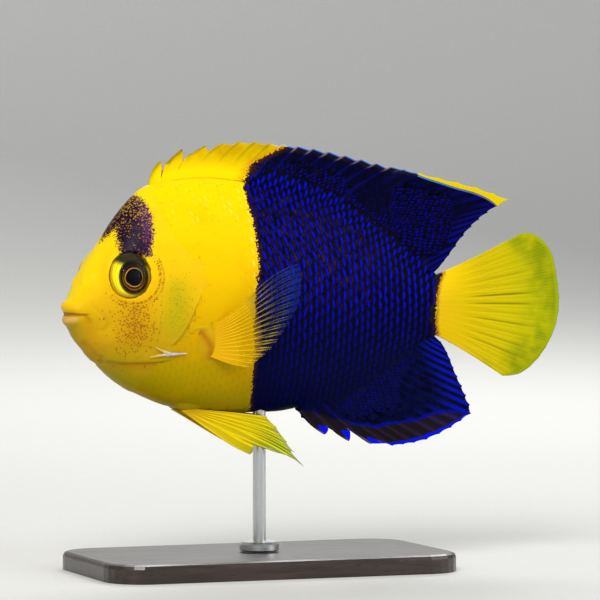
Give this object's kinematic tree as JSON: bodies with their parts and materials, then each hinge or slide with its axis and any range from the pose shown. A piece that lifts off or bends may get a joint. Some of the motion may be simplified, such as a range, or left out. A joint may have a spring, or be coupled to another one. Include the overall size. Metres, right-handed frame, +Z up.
{
  "type": "bicolor angelfish model",
  "caption": "Life-size still model of a bicolor angelfish, yellow in front and deep blue behind, on a plain stand.",
  "frame": {"origin": "centre of the stand base's underside, straight below the rod", "axes": "+X along the fish towards its tail, +Y to the fish's right, +Z up"},
  "size_m": [0.1214, 0.046, 0.0994],
  "materials": {
    "yellow_skin": "satin, finely scaled yellow skin",
    "blue_scales": "satin, deep blue scales",
    "yellow_fin": "satin, yellow fin membrane over rays",
    "eye": "wet, glossy eye",
    "dark_wood": "satin dark stained wood",
    "steel": "brushed steel"
  },
  "bodies": {
    "root": {"head": "yellow_skin", "gill_cover_left": "yellow_skin", "gill_cover_right": "yellow_skin", "trunk": "blue_scales", "tail_stem": "blue_scales", "dorsal_fin": "blue_scales", "anal_fin": "blue_scales", "tail_fin": "yellow_fin", "pectoral_fin_left": "yellow_fin", "pectoral_fin_right": "yellow_fin", "pelvic_fin_left": "yellow_fin", "pelvic_fin_right": "yellow_fin", "eye_left": "eye", "eye_right": "eye", "stand_base": "dark_wood", "stand_rod": "steel", "stand_collar": "steel"}
  },
  "joints": []
}
